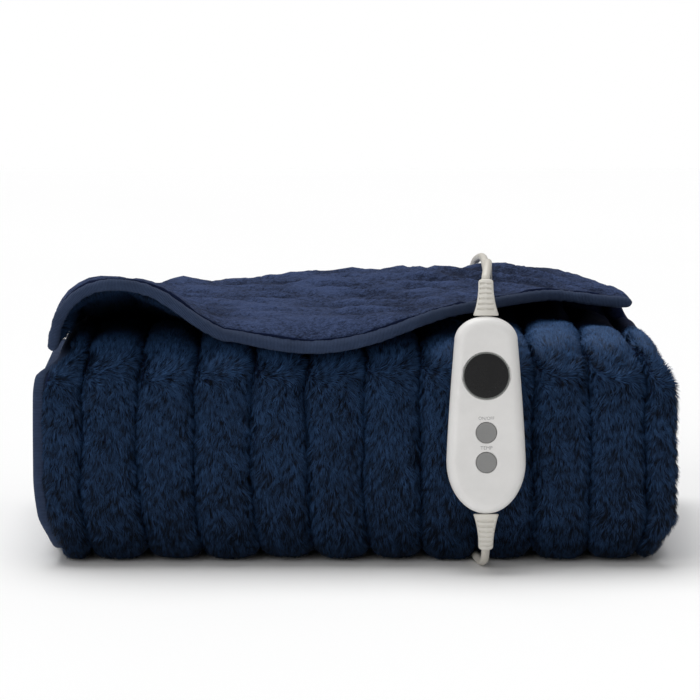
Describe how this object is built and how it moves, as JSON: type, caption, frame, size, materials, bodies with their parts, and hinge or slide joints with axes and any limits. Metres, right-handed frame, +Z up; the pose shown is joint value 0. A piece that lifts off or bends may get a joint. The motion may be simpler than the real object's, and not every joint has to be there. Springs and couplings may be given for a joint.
{
  "type": "electric heated blanket",
  "caption": "Folded plush throw with sewn channels, a smooth reverse flap with bound edges, a hand control with press buttons, and cords with a plug.",
  "frame": {"origin": "on the floor, under the middle of the folded blanket with its hand control, cords not counted", "axes": "+X to the right as seen from the front, +Y from the control to the back, +Z up"},
  "size_m": [0.4244, 0.3895, 0.2007],
  "materials": {
    "plush": "deep navy plush pile, fleece on the reverse",
    "binding_tape": "ribbed navy binding tape",
    "white_plastic": "satin moulded white plastic",
    "cream_rubber": "soft cream moulded flex",
    "dark_display": "smoked dark window",
    "grey_button": "matt grey",
    "plated_pin": "nickel-plated brass"
  },
  "bodies": {
    "root": {"blanket": "plush", "binding_side": "binding_tape", "binding_front": "binding_tape", "binding_end": "binding_tape", "control_front": "white_plastic", "control_back": "white_plastic", "display_window": "dark_display", "relief_top": "cream_rubber", "relief_bottom": "cream_rubber", "cord_blanket": "cream_rubber", "connector_body": "cream_rubber", "connector_relief": "cream_rubber", "cord_mains": "cream_rubber", "mains_coil": "cream_rubber", "mains_tail": "cream_rubber", "plug_body": "white_plastic", "plug_pin_a": "plated_pin", "plug_pin_b": "plated_pin"},
    "power_button": {"button_power": "grey_button"},
    "temp_button": {"button_temp": "grey_button"}
  },
  "joints": [
    {"name": "press_power", "type": "slide", "parent": "root", "child": "power_button", "axis": [0, 0.9903, -0.1392], "range_m": [0, 0.0007], "stiffness_N_per_m": 1500},
    {"name": "press_temp", "type": "slide", "parent": "root", "child": "temp_button", "axis": [0, 0.9903, -0.1392], "range_m": [0, 0.0007], "stiffness_N_per_m": 1500}
  ]
}
